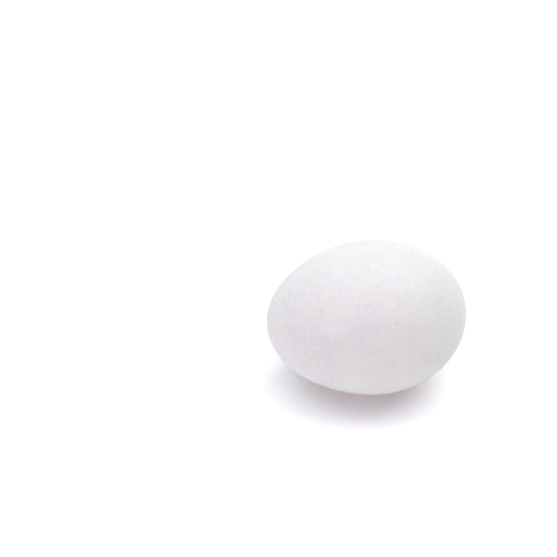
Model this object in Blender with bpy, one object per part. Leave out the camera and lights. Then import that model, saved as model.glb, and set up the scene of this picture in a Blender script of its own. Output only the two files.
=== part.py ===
"""A hen's egg, lying on its side the way it settles by itself.

Metres, +Z up. The long axis runs along X: the blunt end is at +X, and the pointed end at -X dips a
little. The origin is on the surface that the egg lies on, under the middle of its outline.
"""

import math

import bmesh
import bpy
from mathutils import Matrix, Vector

# The turned form, in metres
LENGTH = 0.0568          # pole to pole
BREADTH = 0.0440         # across the middle of the length
TAPER = 0.070            # share that the girth gains at the blunt pole and loses at the pointed one
FLAT_DEPTH = 0.00015     # how far the flat resting spot cuts into the shell

# The shell's low swells, which keep its long outline from being a perfect egg curve
SWELL_COUNT = 4
SWELL_HEIGHT = 0.00010
SWELL_TURN = math.radians(13.0)     # from the blunt pole to the first swell
SWELL_LEAN = math.radians(25.0)     # how far the swells' outline leans back from upright

# The shell's finish
SHELL_COLOUR = (0.84, 0.82, 0.81, 1.0)
SHELL_ROUGHNESS = 0.5

# How finely the mesh and the search for the resting point are divided
SPHERE_DIVISIONS = 5
BALANCE_STEPS = 4000


def remove_objects():
    """Empty the scene."""
    for thing in list(bpy.data.objects):
        bpy.data.objects.remove(thing)


def girth_radius(along):
    """Half the girth's width where the unit sphere's point is this far along X."""
    return BREADTH / 2 * (1 + TAPER * along)


def swell(direction):
    """How far the shell stands out from the turned form in this direction."""
    across = Vector((0.0, math.sin(SWELL_LEAN), math.cos(SWELL_LEAN)))
    seen_along = direction.x
    seen_across = direction.dot(across)
    reach = math.hypot(seen_along, seen_across)
    angle = math.atan2(seen_across, seen_along) - SWELL_TURN
    return SWELL_HEIGHT * reach ** SWELL_COUNT * math.cos(SWELL_COUNT * angle)


def shell_point(sphere_point):
    """The point of the shell that a point of the unit sphere is moved to."""
    radius = girth_radius(sphere_point.x)
    turned = Vector((LENGTH / 2 * sphere_point.x, radius * sphere_point.y, radius * sphere_point.z))
    outward = turned.normalized()
    return turned + swell(outward) * outward


def resting_dip():
    """The angle by which the pointed end dips when the egg lies in balance.

    The centre of mass settles as low as it can, right above the point of the shell nearest to it.
    """
    centre = LENGTH * TAPER / (5 + TAPER ** 2)

    def profile(step):
        along = step / BALANCE_STEPS
        return LENGTH / 2 * along, girth_radius(along) * math.sqrt(1 - along ** 2)

    outline = [profile(step) for step in range(-BALANCE_STEPS, BALANCE_STEPS + 1)]
    touch_x, touch_radius = min(outline, key=lambda point: math.hypot(point[0] - centre, point[1]))
    return math.atan2(centre - touch_x, touch_radius)


def cut_flat(shape):
    """Cut the flat resting spot, one face in a level plane."""
    lowest = min(vertex.co.z for vertex in shape.verts)
    everything = list(shape.verts) + list(shape.edges) + list(shape.faces)
    cut = bmesh.ops.bisect_plane(
        shape,
        geom=everything,
        plane_co=(0.0, 0.0, lowest + FLAT_DEPTH),
        plane_no=(0.0, 0.0, 1.0),
        clear_inner=True,
    )
    rim = [part for part in cut["geom_cut"] if isinstance(part, bmesh.types.BMEdge)]
    bmesh.ops.contextual_create(shape, geom=rim)


def set_on_origin(shape):
    """Move the egg so that the origin is in its lowest plane, under the middle of its outline."""
    xs = [vertex.co.x for vertex in shape.verts]
    ys = [vertex.co.y for vertex in shape.verts]
    zs = [vertex.co.z for vertex in shape.verts]
    middle = Vector(((min(xs) + max(xs)) / 2, (min(ys) + max(ys)) / 2, min(zs)))
    bmesh.ops.translate(shape, verts=shape.verts, vec=-middle)


def egg_mesh():
    """The whole egg as one closed mesh."""
    shape = bmesh.new()
    bmesh.ops.create_icosphere(shape, subdivisions=SPHERE_DIVISIONS, radius=1.0)
    for vertex in shape.verts:
        vertex.co = shell_point(vertex.co.normalized())
    dip = Matrix.Rotation(-resting_dip(), 3, "Y")
    bmesh.ops.rotate(shape, verts=shape.verts, cent=(0.0, 0.0, 0.0), matrix=dip)
    cut_flat(shape)
    set_on_origin(shape)
    bmesh.ops.recalc_face_normals(shape, faces=shape.faces)
    mesh = bpy.data.meshes.new("egg")
    shape.to_mesh(mesh)
    shape.free()
    mesh.shade_smooth()
    return mesh


def shell_material():
    """Matt white eggshell."""
    material = bpy.data.materials.new("shell")
    material.use_nodes = True
    finish = material.node_tree.nodes["Principled BSDF"].inputs
    finish["Base Color"].default_value = SHELL_COLOUR
    finish["Roughness"].default_value = SHELL_ROUGHNESS
    finish["Metallic"].default_value = 0.0
    material.diffuse_color = SHELL_COLOUR
    return material


def build_egg():
    """Add the egg to the scene."""
    mesh = egg_mesh()
    mesh.materials.append(shell_material())
    egg = bpy.data.objects.new("egg", mesh)
    bpy.context.scene.collection.objects.link(egg)


def main():
    remove_objects()
    build_egg()


main()
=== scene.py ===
"""The looks of a white hen's egg that lies on its side on a pale floor, in soft studio light.

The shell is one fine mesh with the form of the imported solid, and with the low relief and the
mottled, flecked and pored finish of a real shell. The script is laid out as a Blender add-on.
"""

import math
import random

import bmesh
import bpy
import numpy as np
from bpy.props import FloatProperty, FloatVectorProperty, IntProperty, PointerProperty
from mathutils import Euler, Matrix, Vector, kdtree, noise
from mathutils.bvhtree import BVHTree


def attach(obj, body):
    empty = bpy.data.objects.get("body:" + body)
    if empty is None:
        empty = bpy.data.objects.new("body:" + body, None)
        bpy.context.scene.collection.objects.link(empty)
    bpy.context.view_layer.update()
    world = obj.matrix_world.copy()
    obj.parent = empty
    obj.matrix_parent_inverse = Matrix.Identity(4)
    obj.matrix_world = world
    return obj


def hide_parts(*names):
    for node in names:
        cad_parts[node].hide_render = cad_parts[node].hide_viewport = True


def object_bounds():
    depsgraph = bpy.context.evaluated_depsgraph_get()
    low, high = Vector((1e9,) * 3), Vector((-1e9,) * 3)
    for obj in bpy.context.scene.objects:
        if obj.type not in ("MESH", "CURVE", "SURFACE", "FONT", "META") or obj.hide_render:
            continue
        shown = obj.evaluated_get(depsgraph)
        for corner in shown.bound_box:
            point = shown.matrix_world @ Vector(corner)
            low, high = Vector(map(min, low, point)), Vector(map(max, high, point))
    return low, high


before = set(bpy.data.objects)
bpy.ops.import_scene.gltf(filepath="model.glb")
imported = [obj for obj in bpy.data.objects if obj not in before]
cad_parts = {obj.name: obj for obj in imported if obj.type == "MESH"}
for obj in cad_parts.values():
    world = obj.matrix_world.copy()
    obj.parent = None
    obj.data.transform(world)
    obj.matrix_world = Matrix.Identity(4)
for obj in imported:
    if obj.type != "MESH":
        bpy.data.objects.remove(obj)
CAD_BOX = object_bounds()

bl_info = {
    "name": "Hen's Egg",
    "version": (1, 0, 0),
    "blender": (4, 5, 0),
    "location": "View3D > Sidebar > Egg",
    "description": "A white hen's egg lying on its side, with its floor, lights and camera",
    "category": "Add Mesh",
}

BODY = "root"

# The photograph's frame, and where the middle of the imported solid's box shows in it, in pixels
FRAME_SIZE = 557
EGG_PIXEL = (366.2, 316.85)

# Width of the camera's sensor, in millimetres
SENSOR_WIDTH = 36.0

# The spots that stand out in the photograph: pixel, radius in metres, and how dark
SPOTS = (
    ((397, 323.5), 0.00088, 0.50),
    ((361.5, 339.5), 0.00085, 0.26),
    ((368, 269), 0.00100, 0.42),
    ((456, 327), 0.00075, 0.30),
    ((316, 360), 0.00075, 0.30),
    ((441, 298), 0.00080, 0.32),
    ((403, 378), 0.00080, 0.42),
    ((440, 356), 0.00075, 0.26),
    ((382, 267), 0.00075, 0.34),
    ((326, 357), 0.00075, 0.28),
)

# The soft lights round the egg: strength, angle that it fills, lean from straight above, turn, colour.
# A light that turns 0 stands behind the egg, and one that turns 90 degrees stands on the right.
LIGHTS = {
    "left_light": (1.331, 54, 30, 300, (0.857, 0.966, 1.0)),
    "right_light": (1.629, 54, 30, 60, (0.947, 1.0, 0.977)),
    "broad_light": (1.50, 70, 20, 152, (0.969, 0.914, 1.0)),
    "back_light": (0.425, 60, 65, 10, (0.915, 0.929, 1.0)),
    "front_left_light": (0.83, 16, 77.5, 222, (1.0, 0.794, 0.935)),
}

# How finely the search for the resting point is divided
BALANCE_STEPS = 4000

# The relief: the smallest bumps as shares of the largest, and the fine grain as shares of the coarse
NARROWEST_BUMP = 0.55
LOWEST_BUMP = 0.3
FINE_GRAIN_SIZE = 0.6
FINE_GRAIN_HEIGHT = 0.5
STRAY_PIMPLES = 0.15        # how often pimples come away from the blunt pole, against at it

# Shifts that make each layer of the relief's noise a different one
WAVE_SHIFT = 0.0
GRAIN_SHIFT = 17.0
FINE_GRAIN_SHIFT = 41.0

# The flecks: how ragged they are for their size, and how the noise is parted, as places and greys
RAG_SIZE = 1.5
RAG_REACH = 0.4
FLECK_STOPS = ((0.38, 0.0), (0.80, 1.0))
PATCH_STOPS = ((0.38, 0.0), (0.62, 1.0))
PATCH_SPREAD = 1.3          # size of the patches of close flecks, against the mottling
STRAY_FLECKS = 0.35         # strength of the flecks between the patches, against inside them

# The pores: the share of the possible places that have one, and how much the radius varies
PORE_SHARE = 0.4
PORE_SPREAD = 0.3

# How strongly each layer turns the shell to the darker colour
MOTTLE_SHADE = 0.6
GRAIN_SHADE = 0.4
PORE_SHADE = 0.2

# How deep pores and flecks lie in the finest relief, against the height of the grain
PORE_SINK = 1.5
FLECK_SINK = 0.6

# How much rougher the mottling and the grain make the shell, and how flecks dull the bloom
MOTTLE_ROUGHNESS = 0.2
GRAIN_ROUGHNESS = 0.1
BARE_BLOOM = 1.3
FLECK_DULLING = 0.6

# The floor lies a hair below the egg, so that it and the flat resting spot don't share a plane
FLOOR_GAP = 0.00002
FLOOR_SIDES = 96
FLOOR_ROUGHNESS = 0.8
FLOOR_SHINE = 0.2
TOOTH_SIZE = 0.003
TOOTH_SHADE = 0.985         # brightness of the board where its tooth is darkest, against elsewhere
TOOTH_ROUGHNESS = 0.1
UNLIT = (0.0, 0.0, 0.0, 1.0)

# The middle of noise that goes from 0 to 1
NOISE_MIDDLE = 0.5

# Where a Mix node has its factor, its colours and its mixed colour, which can't be told by name
MIX_FACTOR = 0
MIX_FIRST = 6
MIX_SECOND = 7
MIX_RESULT = 2

# How near and how far the camera sees
NEAREST_SEEN = 0.01
FARTHEST_SEEN = 20.0


class EggFormSettings(bpy.types.PropertyGroup):
    """The turned form of the egg."""

    length: FloatProperty(
        name="Length", description="From pole to pole",
        default=0.0568, min=0.04, max=0.08, unit="LENGTH", precision=4,
    )
    breadth: FloatProperty(
        name="Breadth", description="Across the middle of the length",
        default=0.0440, min=0.03, max=0.06, unit="LENGTH", precision=4,
    )
    taper: FloatProperty(
        name="Taper",
        description="Share that the girth gains at the blunt pole and loses at the pointed one",
        default=0.070, min=0.0, max=0.2, subtype="FACTOR",
    )
    flat_depth: FloatProperty(
        name="Flat Depth", description="How far the flat resting spot cuts into the shell",
        default=0.00015, min=0.0, max=0.001, unit="LENGTH", precision=6,
    )
    swell_count: IntProperty(
        name="Swells", description="Low swells round the shell's long outline",
        default=4, min=3, max=6,
    )
    swell_height: FloatProperty(
        name="Swell Height", description="How far each low swell stands out",
        default=0.0001, min=0.0, max=0.001, unit="LENGTH", precision=6,
    )
    swell_turn: FloatProperty(
        name="Swell Turn", description="From the blunt pole to the first swell",
        default=math.radians(13.0), subtype="ANGLE",
    )
    swell_lean: FloatProperty(
        name="Swell Lean", description="How far the swells' outline leans back from upright",
        default=math.radians(25.0), subtype="ANGLE",
    )


class ShellReliefSettings(bpy.types.PropertyGroup):
    """The fine relief of the shell."""

    divisions: IntProperty(
        name="Divisions",
        description="Squares along each side of the cube that is blown up to the shell",
        default=128, min=8, max=128,
    )
    wave_size: FloatProperty(
        name="Wave Size", description="Size of the broad unevenness",
        default=0.008, unit="LENGTH", precision=4,
    )
    wave_height: FloatProperty(
        name="Wave Height", description="Height of the broad unevenness",
        default=0.000012, unit="LENGTH", precision=6,
    )
    grain_size: FloatProperty(
        name="Grain Size", description="Size of the shell's orange-peel grain",
        default=0.0014, unit="LENGTH", precision=4,
    )
    grain_height: FloatProperty(
        name="Grain Height", description="Height of the orange-peel grain",
        default=0.000005, unit="LENGTH", precision=6,
    )
    dimple_count: IntProperty(
        name="Dimples", description="Shallow dimples round the larger pores",
        default=420, min=0, max=4000,
    )
    dimple_radius: FloatProperty(
        name="Dimple Radius", description="Radius of the widest dimple",
        default=0.0006, unit="LENGTH", precision=5,
    )
    dimple_depth: FloatProperty(
        name="Dimple Depth", description="Depth of the deepest dimple",
        default=0.00002, unit="LENGTH", precision=6,
    )
    pimple_count: IntProperty(
        name="Pimples", description="Grains of lime on the shell, most of them near the blunt end",
        default=90, min=0, max=1000,
    )
    pimple_radius: FloatProperty(
        name="Pimple Radius", description="Radius of the widest pimple",
        default=0.0006, unit="LENGTH", precision=5,
    )
    pimple_height: FloatProperty(
        name="Pimple Height", description="Height of the tallest pimple",
        default=0.00003, unit="LENGTH", precision=6,
    )
    seed: IntProperty(name="Seed", description="Picks another scatter of dimples and pimples", default=7)


class ShellFinishSettings(bpy.types.PropertyGroup):
    """The colours and the sheen of the shell."""

    shell_colour: FloatVectorProperty(
        name="Shell Colour", description="The shell's chalky white", subtype="COLOR",
        size=4, min=0.0, max=1.0, default=(0.645, 0.632, 0.624, 1.0),
    )
    fleck_colour: FloatVectorProperty(
        name="Fleck Colour", description="The grey flecks where the shell is thinner", subtype="COLOR",
        size=4, min=0.0, max=1.0, default=(0.580, 0.567, 0.564, 1.0),
    )
    fleck_size: FloatProperty(
        name="Fleck Size", description="Size of the flecks", default=0.0011, unit="LENGTH", precision=5,
    )
    patch_size: FloatProperty(
        name="Patch Size", description="Size of the patches in which the flecks lie closer",
        default=0.008, unit="LENGTH", precision=4,
    )
    pore_colour: FloatVectorProperty(
        name="Pore Colour", description="The darker dots of open pores", subtype="COLOR",
        size=4, min=0.0, max=1.0, default=(0.52, 0.49, 0.495, 1.0),
    )
    pore_spacing: FloatProperty(
        name="Pore Spacing", description="Distance from pore to pore",
        default=0.0015, unit="LENGTH", precision=5,
    )
    pore_radius: FloatProperty(
        name="Pore Radius", description="Radius of a middling pore",
        default=0.00042, unit="LENGTH", precision=5,
    )
    grain_size: FloatProperty(
        name="Grain Size", description="Size of the chalky surface's finest grain",
        default=0.00032, unit="LENGTH", precision=6,
    )
    grain_height: FloatProperty(
        name="Grain Height", description="Height of the finest grain",
        default=0.000006, unit="LENGTH", precision=6,
    )
    glow_colour: FloatVectorProperty(
        name="Glow Colour", description="How far light of each colour spreads inside the shell",
        subtype="COLOR", size=3, min=0.0, max=1.0, default=(1.0, 0.62, 0.45),
    )
    glow_depth: FloatProperty(
        name="Glow Depth", description="How far light spreads inside the shell",
        default=0.0009, min=0.0, max=0.01, unit="LENGTH", precision=5,
    )
    glow_share: FloatProperty(
        name="Glow Share", description="Share of the light that spreads inside the shell", subtype="FACTOR",
        default=0.5, min=0.0, max=1.0,
    )
    roughness: FloatProperty(
        name="Roughness", description="The chalky surface's roughness", subtype="FACTOR",
        default=0.55, min=0.0, max=1.0,
    )
    sheen: FloatProperty(
        name="Sheen", description="How strongly the chalky surface itself shines", subtype="FACTOR",
        default=0.05, min=0.0, max=1.0,
    )
    bloom: FloatProperty(
        name="Bloom", description="Strength of the thin, faintly glossy outer layer", subtype="FACTOR",
        default=0.032, min=0.0, max=1.0,
    )
    bloom_density: FloatProperty(
        name="Bloom Density",
        description="How strongly the outer layer bends light; a dense one shines less at the rims",
        default=2.5, min=1.0, max=4.0,
    )
    bloom_roughness: FloatProperty(
        name="Bloom Roughness", description="Roughness of the glossy outer layer", subtype="FACTOR",
        default=0.24, min=0.0, max=1.0,
    )


class StageSettings(bpy.types.PropertyGroup):
    """The floor, the lights and the camera."""

    floor_colour: FloatVectorProperty(
        name="Floor Colour", description="The white board", subtype="COLOR",
        size=4, min=0.0, max=1.0, default=(0.96, 0.96, 0.96, 1.0),
    )
    floor_radius: FloatProperty(
        name="Floor Radius", description="Radius of the round floor", default=6.0, unit="LENGTH",
    )
    # Painted light: the floor glows in a soft long spot under the egg. This painted pool of light lightens
    # the shadow there and stands in for light that comes through the egg.
    painted_glow_strength: FloatProperty(
        name="Painted Glow Strength",
        description="Light that comes through the egg and lights the floor right under it",
        default=0.32, min=0.0,
    )
    # Colour of the painted pool of light on the floor under the egg
    glow_colour: FloatVectorProperty(
        name="Glow Colour", description="Colour of the light that comes through the egg",
        subtype="COLOR", size=4, min=0.0, max=1.0, default=(1.0, 0.793, 0.783, 1.0),
    )
    painted_glow_length: FloatProperty(
        name="Painted Glow Length", description="From the middle to the ends of the lit spot under the egg",
        default=0.024, min=0.001, unit="LENGTH", precision=4,
    )
    painted_glow_breadth: FloatProperty(
        name="Painted Glow Breadth", description="From the middle to the sides of the lit spot under the egg",
        default=0.016, min=0.001, unit="LENGTH", precision=4,
    )
    light_strength: FloatProperty(
        name="Light Strength", description="Brightens or dims all the lights together",
        default=1.0, min=0.0,
    )
    sky_strength: FloatProperty(
        name="Sky Strength", description="Brightness of the pale surroundings", default=0.17, min=0.0,
    )
    sky_colour: FloatVectorProperty(
        name="Sky Colour", description="Colour of the pale surroundings", subtype="COLOR",
        size=4, min=0.0, max=1.0, default=(1.0, 1.0, 1.0, 1.0),
    )
    camera_rise: FloatProperty(
        name="Camera Rise", description="How far the camera looks down on the egg",
        default=math.radians(40.0), subtype="ANGLE",
    )
    camera_turn: FloatProperty(
        name="Camera Turn", description="How far the camera stands to the left of straight in front",
        default=math.radians(4.5), subtype="ANGLE",
    )
    camera_distance: FloatProperty(
        name="Camera Distance", description="From the camera to the middle of the egg",
        default=0.65, unit="LENGTH",
    )
    frame_width: FloatProperty(
        name="Frame Width", description="Width of the view at the egg's distance",
        default=0.15850, unit="LENGTH", precision=5,
    )


def girth_radius(form, along):
    """Half the girth's width where the unit sphere's point is this far along X."""
    return form.breadth / 2 * (1 + form.taper * along)


def swell(form, directions):
    """How far the shell stands out from the turned form in each direction."""
    across = np.array((0.0, math.sin(form.swell_lean), math.cos(form.swell_lean)))
    seen_along = directions[:, 0]
    seen_across = directions @ across
    reach = np.hypot(seen_along, seen_across)
    angle = np.arctan2(seen_across, seen_along) - form.swell_turn
    return form.swell_height * reach ** form.swell_count * np.cos(form.swell_count * angle)


def shell_points(form, sphere):
    """The points of the smooth shell that points of the unit sphere are moved to."""
    along, across, up = sphere.T
    radius = girth_radius(form, along)
    turned = np.column_stack((form.length / 2 * along, radius * across, radius * up))
    outward = turned / np.linalg.norm(turned, axis=1, keepdims=True)
    return turned + outward * swell(form, outward)[:, None]


def resting_dip(form):
    """The angle by which the pointed end dips when the egg lies in balance.

    The centre of mass settles as low as it can, right above the point of the shell nearest to it.
    """
    centre = form.length * form.taper / (5 + form.taper ** 2)
    along = np.arange(-BALANCE_STEPS, BALANCE_STEPS + 1) / BALANCE_STEPS
    outline_x = form.length / 2 * along
    outline_radius = girth_radius(form, along) * np.sqrt(1 - along ** 2)
    nearest = np.argmin(np.hypot(outline_x - centre, outline_radius))
    return math.atan2(centre - outline_x[nearest], outline_radius[nearest])


def rest(form, points):
    """Turn points of the egg to its resting tilt."""
    dip = -resting_dip(form)
    turned_x = points[:, 0] * math.cos(dip) + points[:, 2] * math.sin(dip)
    turned_z = points[:, 2] * math.cos(dip) - points[:, 0] * math.sin(dip)
    return np.column_stack((turned_x, points[:, 1], turned_z))


def resting_place(form, points):
    """Where the egg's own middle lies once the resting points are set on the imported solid's box."""
    low, high = CAD_BOX
    middle = (points.max(axis=0) + points.min(axis=0)) / 2
    return np.array((
        (low.x + high.x) / 2 - middle[0],
        (low.y + high.y) / 2 - middle[1],
        low.z - form.flat_depth - points[:, 2].min(),
    ))


def cut_flat(points):
    """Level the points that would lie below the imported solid's lowest plane, as a flat resting spot."""
    low = CAD_BOX[0]
    points[:, 2] = np.maximum(points[:, 2], low.z)
    return points


def cube_sphere(divisions):
    """A cube of fine squares blown up to a unit sphere, with nearly even squares and no poles."""
    shape = bmesh.new()
    bmesh.ops.create_cube(shape, size=2.0)
    bmesh.ops.subdivide_edges(shape, edges=shape.edges, cuts=divisions - 1, use_grid_fill=True)
    mesh = bpy.data.meshes.new("eggshell")
    shape.to_mesh(mesh)
    shape.free()
    cube = read_points(mesh)
    even = np.tan(cube * math.pi / 4)
    return mesh, even / np.linalg.norm(even, axis=1, keepdims=True)


def read_points(mesh):
    """The mesh's points as rows of an array."""
    flat = np.empty(len(mesh.vertices) * 3, np.float32)
    mesh.vertices.foreach_get("co", flat)
    return flat.reshape(-1, 3).astype(float)


def write_points(mesh, points):
    """Move the mesh's points to the rows of an array."""
    mesh.vertices.foreach_set("co", points.astype(np.float32).ravel())
    mesh.update()


def read_normals(mesh):
    """The mesh's point normals as rows of an array."""
    flat = np.empty(len(mesh.vertices) * 3, np.float32)
    mesh.vertex_normals.foreach_get("vector", flat)
    return flat.reshape(-1, 3).astype(float)


def noise_over(points, size, shift):
    """Smooth noise from -1 to 1 at each point, in lumps of this size."""
    offset = Vector((shift, shift, shift))
    return np.array([noise.noise(Vector(point) / size + offset) for point in points])


def scatter_bumps(points, count, radius, weight, seed):
    """Smooth bumps of random width and height from 0 to 1, at points picked by weight."""
    draw = random.Random(seed)
    tree = kdtree.KDTree(len(points))
    for index, point in enumerate(points):
        tree.insert(point, index)
    tree.balance()
    height = np.zeros(len(points))
    made = 0
    while made < count:
        centre = points[draw.randrange(len(points))]
        if draw.random() > weight(centre):
            continue
        made += 1
        reach = radius * draw.uniform(NARROWEST_BUMP, 1.0)
        tall = draw.uniform(LOWEST_BUMP, 1.0)
        for _, index, distance in tree.find_range(centre, reach):
            height[index] = max(height[index], tall * (1 - (distance / reach) ** 2) ** 2)
    return height


def scatter_dimples(relief, points):
    """Shallow dimples from 0 to 1, all over the shell."""

    def everywhere(at):
        return 1.0

    return scatter_bumps(points, relief.dimple_count, relief.dimple_radius, everywhere, relief.seed)


def scatter_pimples(form, relief, points):
    """Grains of lime from 0 to 1, most of them near the blunt pole."""

    def near_blunt_pole(at):
        along = max(0.0, at[0] / (form.length / 2))
        return STRAY_PIMPLES + (1 - STRAY_PIMPLES) * along ** 2

    seed = relief.seed + 1
    return scatter_bumps(points, relief.pimple_count, relief.pimple_radius, near_blunt_pole, seed)


def shell_relief(form, relief, points):
    """How far the real shell stands out from the smooth one at each point."""
    waves = noise_over(points, relief.wave_size, WAVE_SHIFT)
    grain = noise_over(points, relief.grain_size, GRAIN_SHIFT)
    fine_grain = noise_over(points, relief.grain_size * FINE_GRAIN_SIZE, FINE_GRAIN_SHIFT)
    uneven = waves * relief.wave_height + (grain + fine_grain * FINE_GRAIN_HEIGHT) * relief.grain_height
    sunk = scatter_dimples(relief, points) * relief.dimple_depth
    raised = scatter_pimples(form, relief, points) * relief.pimple_height
    return uneven - sunk + raised


class Value:
    """A shader socket that can be used in sums."""

    def __init__(self, graph, socket):
        self.graph = graph
        self.socket = socket

    def combine(self, operation, first, second):
        """The result of one sum, in which either side may be a plain number."""
        return self.graph.node("ShaderNodeMath", {"operation": operation}, {0: first, 1: second})

    def __add__(self, other):
        return self.combine("ADD", self, other)

    def __radd__(self, other):
        return self.combine("ADD", other, self)

    def __sub__(self, other):
        return self.combine("SUBTRACT", self, other)

    def __rsub__(self, other):
        return self.combine("SUBTRACT", other, self)

    def __mul__(self, other):
        return self.combine("MULTIPLY", self, other)

    def __rmul__(self, other):
        return self.combine("MULTIPLY", other, self)


class Graph:
    """The nodes of one material."""

    def __init__(self, name):
        self.material = bpy.data.materials.new(name)
        self.material.use_nodes = True
        self.tree = self.material.node_tree
        self.shader = self.tree.nodes["Principled BSDF"]

    def set_socket(self, socket, value):
        """Link a value of this graph to the socket, or set a plain number or colour on it."""
        if isinstance(value, Value):
            self.tree.links.new(value.socket, socket)
        else:
            socket.default_value = value

    def node(self, kind, settings, values, output=0):
        """Add a node, with its settings first, and return one of its outputs, or several."""
        made = self.tree.nodes.new(kind)
        for name, setting in settings.items():
            if name == "stops":
                self.set_stops(made.color_ramp, setting)
            else:
                setattr(made, name, setting)
        for name, value in values.items():
            self.set_socket(made.inputs[name], value)
        if isinstance(output, tuple):
            return tuple(Value(self, made.outputs[name]) for name in output)
        return Value(self, made.outputs[output])

    def set_stops(self, ramp, stops):
        """Give a ramp its stops, each a place and a grey."""
        while len(ramp.elements) < len(stops):
            ramp.elements.new(0.5)
        for element, (place, grey) in zip(ramp.elements, stops):
            element.position = place
            element.color = (grey, grey, grey, 1.0)

    def position(self):
        """The place on the object, in metres."""
        return self.node("ShaderNodeTexCoord", {}, {}, "Object")

    def noise(self, where, size, detail=2.0, roughness=0.5):
        """Noise from 0 to 1, in lumps of this size in metres."""
        values = {"Vector": where, "Scale": 1 / size, "Detail": detail, "Roughness": roughness}
        return self.node("ShaderNodeTexNoise", {}, values, "Fac")

    def shaken(self, where, size, reach):
        """The place, moved about by up to this reach, so that round lumps turn ragged."""
        values = {"Vector": where, "Scale": 1 / size}
        push = self.node("ShaderNodeTexNoise", {"normalize": False}, values, "Color")
        values = {0: push, 1: (reach,) * 3, 2: where}
        return self.node("ShaderNodeVectorMath", {"operation": "MULTIPLY_ADD"}, values, "Vector")

    def ramp(self, value, stops):
        """A value passed through a ramp of greys."""
        return self.node("ShaderNodeValToRGB", {"stops": stops}, {"Fac": value})

    def fade(self, value, start, end):
        """1 up to the start, falling softly to 0 at the end."""
        settings = {"interpolation_type": "SMOOTHSTEP"}
        values = {"Value": value, "From Min": end, "From Max": start}
        return self.node("ShaderNodeMapRange", settings, values)

    def dots(self, where, spacing, share, radius):
        """Round dots of all strengths, at this share of places that lie about this far apart."""
        values = {"Vector": where, "Scale": 1 / spacing}
        distance, colour = self.node("ShaderNodeTexVoronoi", {}, values, ("Distance", "Color"))
        draw, wide = self.node("ShaderNodeSeparateColor", {}, {"Color": colour}, ("Red", "Green"))
        strength = self.fade(draw, 0.0, share)
        reach = (wide * (2 * PORE_SPREAD) + (1 - PORE_SPREAD)) * (radius / spacing)
        return strength * self.fade(distance, 0.0, reach)

    def scaled(self, where, factors):
        """The place, with each of its numbers multiplied by a factor."""
        values = {0: where, 1: factors}
        return self.node("ShaderNodeVectorMath", {"operation": "MULTIPLY"}, values, "Vector")

    def spot(self, where, centre, radius):
        """A soft round spot."""
        values = {0: where, 1: tuple(centre)}
        distance = self.node("ShaderNodeVectorMath", {"operation": "DISTANCE"}, values, "Value")
        return self.fade(distance, 0.0, radius)

    def mix_colour(self, factor, first, second):
        """The first colour, turned into the second as the factor goes from 0 to 1."""
        settings = {"data_type": "RGBA", "clamp_factor": True}
        values = {MIX_FACTOR: factor, MIX_FIRST: first, MIX_SECOND: second}
        return self.node("ShaderNodeMix", settings, values, MIX_RESULT)

    def bump(self, height, distance):
        """A normal tilted by a height from 0 to 1 that stands for this distance."""
        return self.node("ShaderNodeBump", {}, {"Height": height, "Distance": distance}, "Normal")

    def finish(self, values):
        """Set the sockets of the material's main shader."""
        for name, value in values.items():
            self.set_socket(self.shader.inputs[name], value)
        return self.material


def shell_flecks(graph, where, finish):
    """Ragged flecks, from 0 to 1."""
    ragged = graph.shaken(where, finish.fleck_size * RAG_SIZE, finish.fleck_size * RAG_REACH)
    return graph.ramp(graph.noise(ragged, finish.fleck_size, detail=1.0), FLECK_STOPS)


def shell_marks(graph, where, pores, spots):
    """How far the shell turns to the pores' colour, at its pores and at the spots that stand out."""
    marks = pores * PORE_SHADE
    for centre, radius, darkness in spots:
        marks = marks + graph.spot(where, centre, radius) * darkness
    return marks


def shell_material(finish, spots):
    """Chalky white eggshell, mottled, flecked and pored, under a thin, faintly glossy bloom."""
    graph = Graph("eggshell")
    where = graph.position()
    mottle = graph.noise(where, finish.patch_size, detail=3.0) - NOISE_MIDDLE
    grain = graph.noise(where, finish.grain_size, detail=3.0, roughness=0.6) - NOISE_MIDDLE
    patches = graph.ramp(graph.noise(where, finish.patch_size * PATCH_SPREAD), PATCH_STOPS)
    flecks = shell_flecks(graph, where, finish)
    pores = graph.dots(where, finish.pore_spacing, PORE_SHARE, finish.pore_radius)
    crowding = patches * (1 - STRAY_FLECKS) + STRAY_FLECKS
    share = flecks * crowding + mottle * MOTTLE_SHADE + grain * GRAIN_SHADE
    flecked = graph.mix_colour(share, tuple(finish.shell_colour), tuple(finish.fleck_colour))
    marks = shell_marks(graph, where, pores, spots)
    height = grain - pores * PORE_SINK - flecks * FLECK_SINK
    return graph.finish({
        "Base Color": graph.mix_colour(marks, flecked, tuple(finish.pore_colour)),
        "Roughness": finish.roughness + mottle * MOTTLE_ROUGHNESS + grain * GRAIN_ROUGHNESS,
        "Specular IOR Level": finish.sheen,
        "Coat Weight": finish.bloom * (BARE_BLOOM - flecks * FLECK_DULLING) * (mottle + 1.0),
        "Coat Roughness": finish.bloom_roughness,
        "Coat IOR": finish.bloom_density,
        "Subsurface Weight": finish.glow_share,
        "Subsurface Radius": tuple(finish.glow_colour),
        "Subsurface Scale": finish.glow_depth,
        "Normal": graph.bump(height, finish.grain_height),
    })


def floor_painted_glow(graph, where, stage):
    """The painted pool of light: a soft long spot under the egg, from 0 to 1."""
    squeezed = graph.scaled(where, (stage.painted_glow_breadth / stage.painted_glow_length, 1.0, 1.0))
    return graph.spot(squeezed, (0.0, 0.0, 0.0), stage.painted_glow_breadth)


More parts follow.
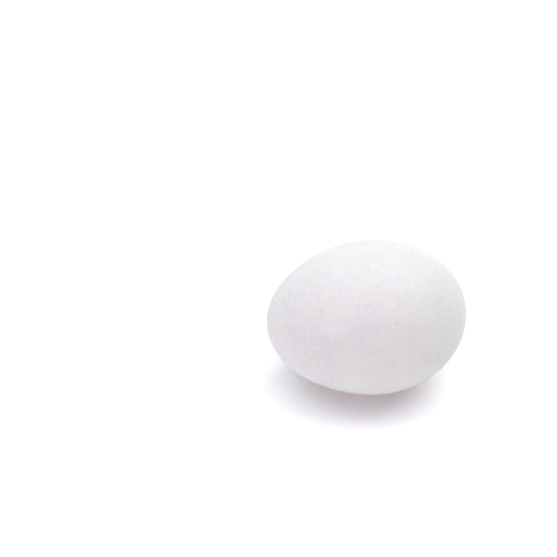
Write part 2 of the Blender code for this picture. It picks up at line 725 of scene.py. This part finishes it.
def floor_material(stage):
    """Plain white board with a barely seen tooth, and a painted pool of light where the board glows under
    the egg.
    """
    graph = Graph("floor")
    where = graph.position()
    tooth = graph.noise(where, TOOTH_SIZE)
    darker = tuple(TOOTH_SHADE * part for part in stage.floor_colour[:3]) + (1.0,)
    painted_light_spot = floor_painted_glow(graph, where, stage)
    return graph.finish({
        "Base Color": graph.mix_colour(tooth, tuple(stage.floor_colour), darker),
        "Roughness": FLOOR_ROUGHNESS + tooth * TOOTH_ROUGHNESS,
        "Specular IOR Level": FLOOR_SHINE,
        # Painted light: the board glows in the spot under the egg and lightens the shadow there
        "Emission Color": graph.mix_colour(painted_light_spot, UNLIT, tuple(stage.glow_colour)),
        "Emission Strength": stage.painted_glow_strength,
    })


def link(thing):
    """Put an object into the scene."""
    bpy.context.scene.collection.objects.link(thing)
    return thing


def build_shell(form, relief):
    """The whole eggshell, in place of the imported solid."""
    mesh, sphere = cube_sphere(relief.divisions)
    smooth = shell_points(form, sphere)
    resting = rest(form, smooth)
    place = resting_place(form, resting)
    write_points(mesh, smooth)
    normals = read_normals(mesh)
    uneven = smooth + normals * shell_relief(form, relief, smooth)[:, None]
    write_points(mesh, cut_flat(rest(form, uneven) + place))
    mesh.shade_smooth()
    shell = link(bpy.data.objects.new("eggshell", mesh))
    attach(shell, BODY)
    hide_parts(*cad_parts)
    return shell


def sensor_place(pixel):
    """How far to the right of the sensor's middle and above it a pixel of the photograph is seen."""
    right = (pixel[0] - FRAME_SIZE / 2) / FRAME_SIZE * SENSOR_WIDTH
    up = (FRAME_SIZE / 2 - pixel[1]) / FRAME_SIZE * SENSOR_WIDTH
    return right, up


def pixel_ray(camera, pixel):
    """The direction in which the camera sees a pixel of the photograph."""
    ray = Vector((*sensor_place(pixel), -camera.data.lens))
    return (camera.matrix_basis.to_3x3() @ ray).normalized()


def find_spots(camera, shell):
    """The photograph's spots on the shell: centre, radius and how dark."""
    surface = BVHTree.FromObject(shell, bpy.context.evaluated_depsgraph_get())
    found = []
    for pixel, radius, darkness in SPOTS:
        centre = surface.ray_cast(camera.location, pixel_ray(camera, pixel))[0]
        if centre is None:
            raise RuntimeError(f"the camera doesn't see the shell at {pixel}")
        found.append((centre, radius, darkness))
    return found


def build_floor(stage):
    """A round white floor just under the egg."""
    shape = bmesh.new()
    bmesh.ops.create_circle(shape, cap_ends=True, segments=FLOOR_SIDES, radius=stage.floor_radius)
    mesh = bpy.data.meshes.new("floor")
    shape.to_mesh(mesh)
    shape.free()
    mesh.materials.append(floor_material(stage))
    floor = link(bpy.data.objects.new("floor", mesh))
    floor.location.z = -FLOOR_GAP


def build_light(name, strength, spread, lean, turn, colour):
    """One soft light that fills the same angle as seen from everywhere."""
    lamp = bpy.data.lights.new(name, "SUN")
    lamp.energy = strength
    lamp.angle = math.radians(spread)
    lamp.color = colour
    light = link(bpy.data.objects.new(name, lamp))
    lean = math.radians(lean)
    turn = math.radians(turn)
    towards = Vector((math.sin(lean) * math.sin(turn), math.sin(lean) * math.cos(turn), math.cos(lean)))
    light.rotation_mode = "QUATERNION"
    light.rotation_quaternion = towards.to_track_quat("Z", "Y")


def build_lights(stage):
    """The studio's soft lights and pale surroundings."""
    for name, (strength, spread, lean, turn, colour) in LIGHTS.items():
        build_light(name, strength * stage.light_strength, spread, lean, turn, colour)
    world = bpy.data.worlds.new("surroundings")
    world.use_nodes = True
    background = world.node_tree.nodes["Background"]
    background.inputs["Color"].default_value = stage.sky_colour
    background.inputs["Strength"].default_value = stage.sky_strength
    bpy.context.scene.world = world
    bpy.context.scene.view_settings.view_transform = "Standard"


def build_camera(stage, target):
    """The photograph's view: the target shows at its pixel, and the camera doesn't lean sideways."""
    lens = bpy.data.cameras.new("camera")
    lens.sensor_width = SENSOR_WIDTH
    lens.lens = SENSOR_WIDTH * stage.camera_distance / stage.frame_width
    lens.clip_start = NEAREST_SEEN
    lens.clip_end = FARTHEST_SEEN
    right, up = sensor_place(EGG_PIXEL)
    ray = math.sqrt(right ** 2 + up ** 2 + lens.lens ** 2)
    sideways_length = math.hypot(up, lens.lens)
    pitch = math.atan2(up, lens.lens) + math.asin(ray * math.sin(stage.camera_rise) / sideways_length)
    yaw = math.atan2(right, up * math.sin(pitch) + lens.lens * math.cos(pitch))
    camera = link(bpy.data.objects.new("camera", lens))
    back = Vector((0.0, -math.cos(stage.camera_rise), math.sin(stage.camera_rise)))
    back.rotate(Euler((0.0, 0.0, -stage.camera_turn)))
    camera.location = target + back * stage.camera_distance
    camera.rotation_euler = (math.pi / 2 - pitch, 0.0, yaw - stage.camera_turn)
    bpy.context.scene.camera = camera


class EGG_OT_add_shell(bpy.types.Operator):
    """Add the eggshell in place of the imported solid, with its spots where the camera sees them"""

    bl_idname = "egg.add_shell"
    bl_label = "Add Eggshell"

    def execute(self, context):
        scene = context.scene
        if scene.camera is None:
            raise RuntimeError("add the stage first, because the spots are placed from the camera")
        shell = build_shell(scene.egg_form, scene.egg_relief)
        spots = find_spots(scene.camera, shell)
        shell.data.materials.append(shell_material(scene.egg_finish, spots))
        return {"FINISHED"}


class EGG_OT_add_stage(bpy.types.Operator):
    """Add the floor, the lights and the camera"""

    bl_idname = "egg.add_stage"
    bl_label = "Add Stage"

    def execute(self, context):
        stage = context.scene.egg_stage
        build_floor(stage)
        build_lights(stage)
        build_camera(stage, (CAD_BOX[0] + CAD_BOX[1]) / 2)
        return {"FINISHED"}


class EGG_PT_panel(bpy.types.Panel):
    """Lists what the egg and its stage are made with"""

    bl_label = "Hen's Egg"
    bl_idname = "EGG_PT_panel"
    bl_space_type = "VIEW_3D"
    bl_region_type = "UI"
    bl_category = "Egg"

    def draw(self, context):
        layout = self.layout
        for group in GROUPS:
            box = layout.box()
            settings = getattr(context.scene, group)
            for name in settings.__annotations__:
                box.prop(settings, name)
        layout.operator(EGG_OT_add_stage.bl_idname)
        layout.operator(EGG_OT_add_shell.bl_idname)


GROUPS = {
    "egg_form": EggFormSettings,
    "egg_relief": ShellReliefSettings,
    "egg_finish": ShellFinishSettings,
    "egg_stage": StageSettings,
}
CLASSES = (*GROUPS.values(), EGG_OT_add_stage, EGG_OT_add_shell, EGG_PT_panel)


def register():
    """Register the classes and give the scene its settings."""
    for kind in CLASSES:
        bpy.utils.register_class(kind)
    for name, kind in GROUPS.items():
        setattr(bpy.types.Scene, name, PointerProperty(type=kind))


def unregister():
    """Take the settings and the classes away again."""
    for name in GROUPS:
        delattr(bpy.types.Scene, name)
    for kind in reversed(CLASSES):
        bpy.utils.unregister_class(kind)


def main():
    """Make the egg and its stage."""
    register()
    bpy.ops.egg.add_stage()
    bpy.ops.egg.add_shell()


if __name__ == "__main__":
    main()
